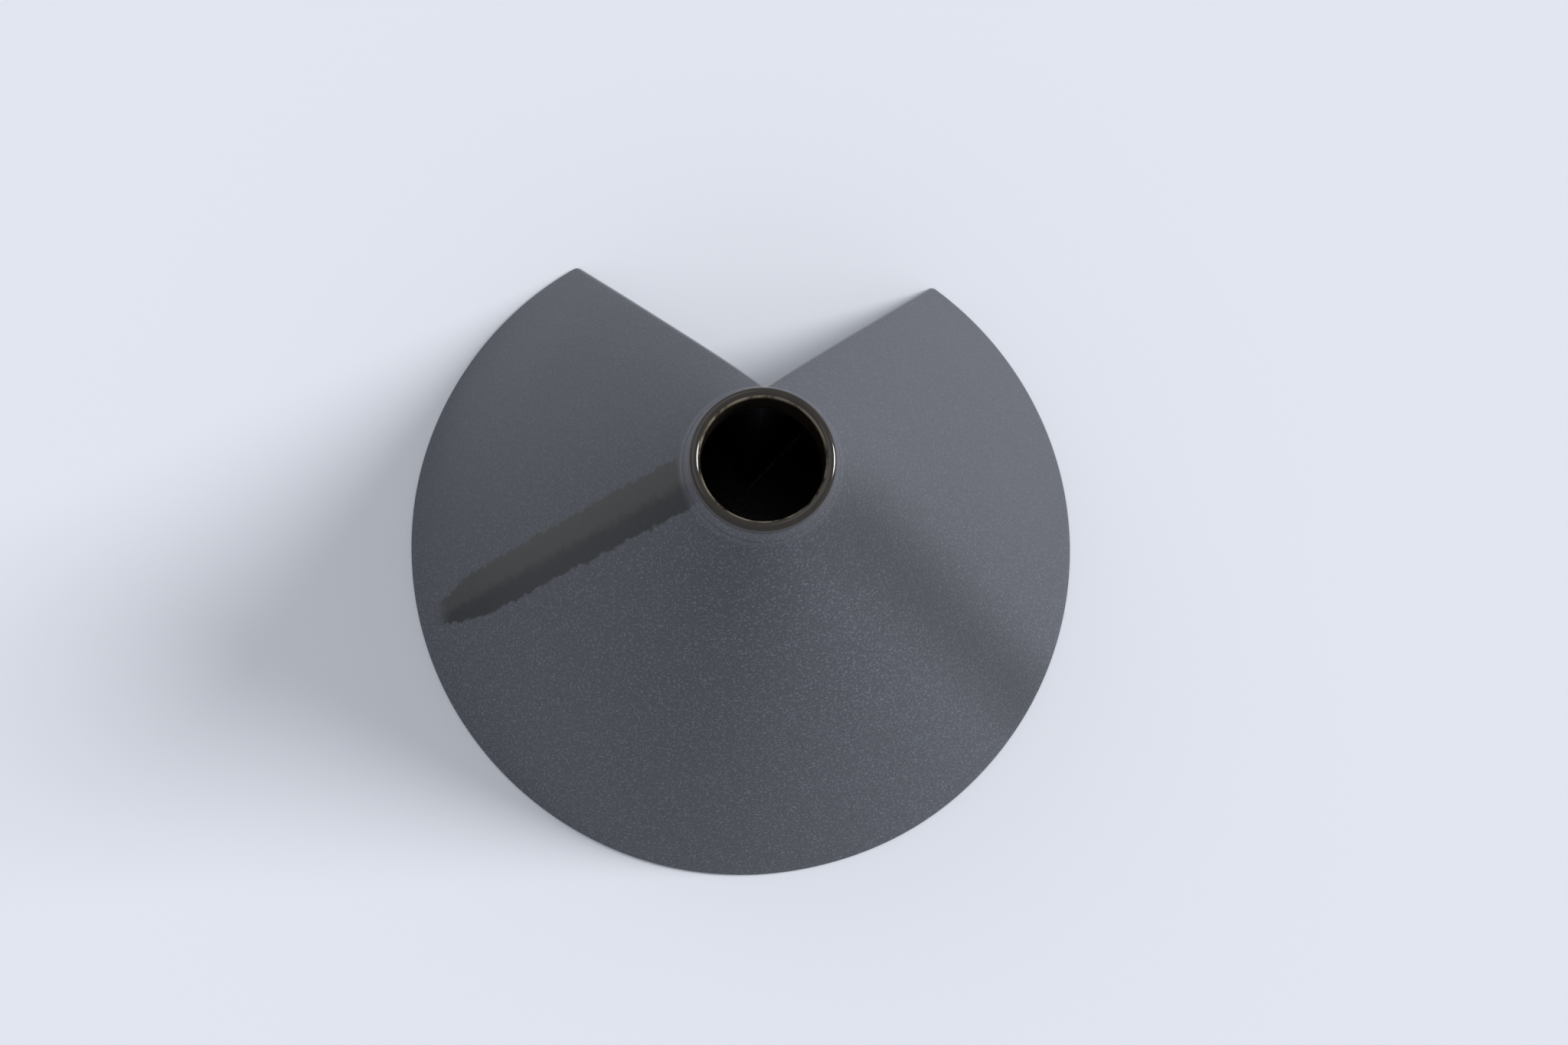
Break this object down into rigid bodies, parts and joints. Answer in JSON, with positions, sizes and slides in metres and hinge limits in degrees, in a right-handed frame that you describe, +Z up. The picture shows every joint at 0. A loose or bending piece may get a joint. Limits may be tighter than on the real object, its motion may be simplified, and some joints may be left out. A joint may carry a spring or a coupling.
{
  "type": "ceramic vase",
  "caption": "Low hollow cone of dark satin-glazed clay with a short black-lipped neck and a deep V notch in its side.",
  "frame": {"origin": "on the neck's axis, in the plane that the vase stands on", "axes": "+Z up along the neck, +Y out of the V notch, +X to the right when the notch is at the back"},
  "size_m": [0.25, 0.2293, 0.142],
  "materials": {
    "satin_glaze": "satin",
    "gloss_glaze": "gloss",
    "bare_clay": "matt"
  },
  "bodies": {
    "root": {"base_slab": "bare_clay", "cone_shell": "satin_glaze", "notch_wall_left": "satin_glaze", "notch_wall_right": "satin_glaze", "neck_collar": "satin_glaze", "lip_ring": "gloss_glaze"}
  },
  "joints": []
}
